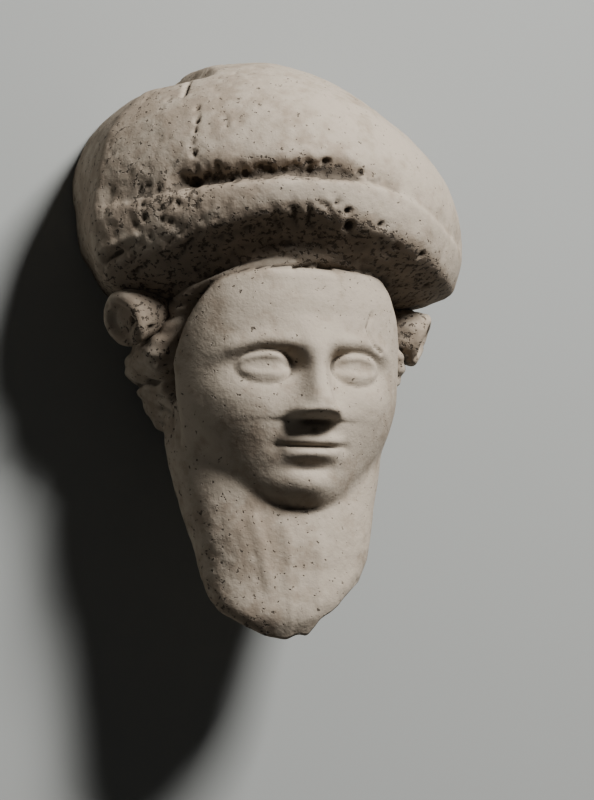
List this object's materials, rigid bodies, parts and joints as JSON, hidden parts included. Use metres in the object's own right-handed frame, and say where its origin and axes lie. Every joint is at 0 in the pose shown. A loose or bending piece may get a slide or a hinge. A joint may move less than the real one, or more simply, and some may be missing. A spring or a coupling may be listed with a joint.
{
  "type": "terracotta head",
  "caption": "Small terracotta head in a high rounded headdress over a rolled band, with ear discs, broken off at the neck and lying on its flat back.",
  "frame": {"origin": "middle of the box round the head, on the surface that its flat back lies on", "axes": "+Y from the broken neck to the crown, +Z the way the face looks, +X to the right of someone who looks down on the face with the crown away from them"},
  "size_m": [0.0614, 0.09, 0.0465],
  "materials": {
    "terracotta": "dry worn fired clay, pitted, matt, with darker dirt in the hollows"
  },
  "bodies": {
    "root": {"head": "terracotta"}
  },
  "joints": []
}
